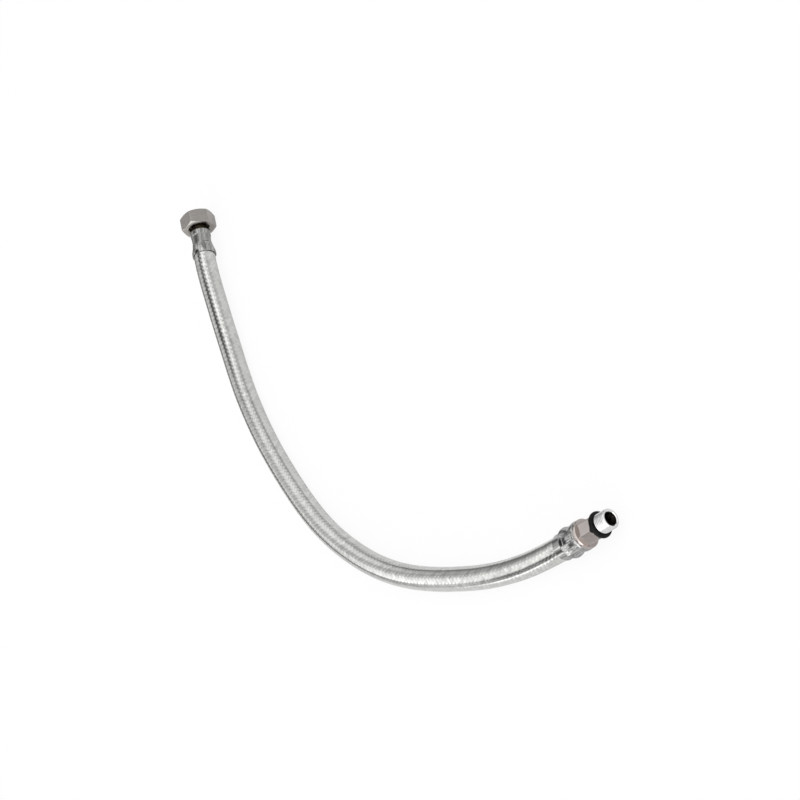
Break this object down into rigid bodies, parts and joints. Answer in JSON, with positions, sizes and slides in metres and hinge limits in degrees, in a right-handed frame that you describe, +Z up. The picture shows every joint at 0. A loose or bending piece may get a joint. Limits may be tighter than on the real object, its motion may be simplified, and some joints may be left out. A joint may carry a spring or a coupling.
{
  "type": "flexible tap connector",
  "caption": "Steel-braided flexible hose with a swivelling hexagon union nut at one end and a short threaded male tail with an O-ring at the other.",
  "frame": {"origin": "on the plane the connector lies on, under the middle of the box round the two end fittings", "axes": "+Z up, +Y the way the swivel nut's mouth faces, +X towards the male tail's end"},
  "size_m": [0.2699, 0.3327, 0.017],
  "materials": {
    "nut_plating": "satin nickel plate on brass",
    "nipple_plating": "bright machined",
    "ferrule_steel": "satin, drawn",
    "braid_steel": "bright woven wire",
    "hose_rubber": "matt",
    "tail_plating": "polished chrome plate on brass",
    "washer_rubber": "matt",
    "seal_rubber": "satin"
  },
  "bodies": {
    "hose": {"nut_nipple": "nipple_plating", "nut_ferrule": "ferrule_steel", "steel_braid": "braid_steel", "inner_hose": "hose_rubber", "tail_ferrule": "ferrule_steel", "male_tail": "tail_plating", "o_ring": "seal_rubber"},
    "union": {"swivel_nut": "nut_plating", "sealing_washer": "washer_rubber"}
  },
  "joints": [
    {"name": "nut_swivel", "type": "hinge", "parent": "hose", "child": "union", "pos_m": [-0.1245, 0.16205, 0.0085], "axis": [0, 1, 0], "continuous": true}
  ]
}
